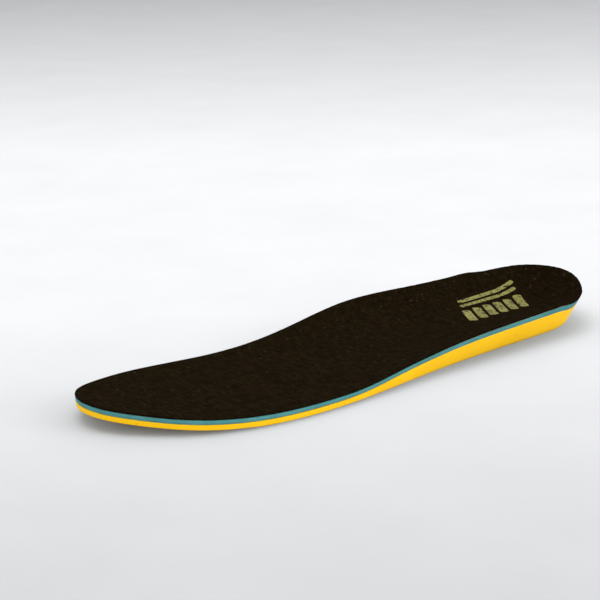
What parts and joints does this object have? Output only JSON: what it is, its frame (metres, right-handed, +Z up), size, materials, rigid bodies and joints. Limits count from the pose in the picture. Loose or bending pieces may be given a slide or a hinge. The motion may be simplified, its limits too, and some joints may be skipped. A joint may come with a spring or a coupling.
{
  "type": "cushioned insole",
  "caption": "Left contoured shoe insole: brushed fabric cover over memory foam on a moulded foam base with heel cup, arch support and ribbed sole.",
  "frame": {"origin": "on the resting surface, under the middle of the insole's box", "axes": "-X towards the toe, +X towards the heel, +Y towards the inner (arch) side, +Z up"},
  "size_m": [0.2799, 0.0953, 0.0212],
  "materials": {
    "cover_fabric": "brushed black-brown knit with a short nap",
    "bond_film": "thin hot-melt web",
    "memory_foam": "teal open-cell foam, cut edge",
    "base_foam": "yellow moulded foam with a smooth satin skin",
    "print_ink": "flat olive transfer print"
  },
  "bodies": {
    "rearfoot": {"top_cover_rear": "cover_fabric", "cover_bond_film_rear": "bond_film", "memory_foam_rear": "memory_foam", "base_bond_film_rear": "bond_film", "moulded_base_rear": "base_foam", "heel_print": "print_ink"},
    "forefoot": {"top_cover_front": "cover_fabric", "cover_bond_film_front": "bond_film", "memory_foam_front": "memory_foam", "base_bond_film_front": "bond_film", "moulded_base_front": "base_foam"}
  },
  "joints": [
    {"name": "toe_flex", "type": "hinge", "parent": "rearfoot", "child": "forefoot", "pos_m": [-0.048, -0.0022, 0.0061], "axis": [-0.2924, 0.9563, 0], "range_deg": [0, 45], "stiffness_Nm_per_rad": 0.08}
  ]
}
